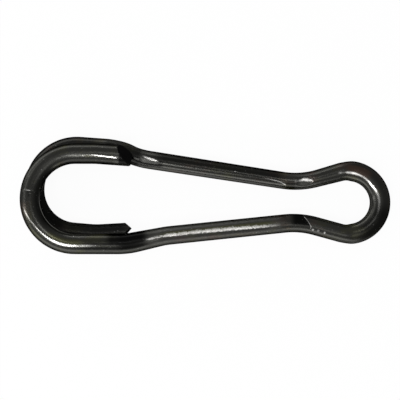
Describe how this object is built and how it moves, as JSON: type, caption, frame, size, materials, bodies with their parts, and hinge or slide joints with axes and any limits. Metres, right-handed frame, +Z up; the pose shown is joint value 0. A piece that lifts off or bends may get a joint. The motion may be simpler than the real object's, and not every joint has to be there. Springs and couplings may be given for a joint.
{
  "type": "fishing snap",
  "caption": "Bent wire fishing snap: a round line eye, a narrow waist and overlapping open hooks that spring apart and shut on a lure's ring.",
  "frame": {"origin": "centre of the bounding box at its lowest point, on the surface the snap lies on", "axes": "+X along the snap from the hooks to the line eye, +Y across it towards the leg that carries the under hook, +Z up"},
  "size_m": [0.02, 0.0064, 0.0021],
  "materials": {
    "dark_wire": "black nickel plated spring wire, semi-gloss, with a fine drawn grain and small bending marks"
  },
  "bodies": {
    "root": {"snap_wire": "dark_wire"}
  },
  "joints": []
}
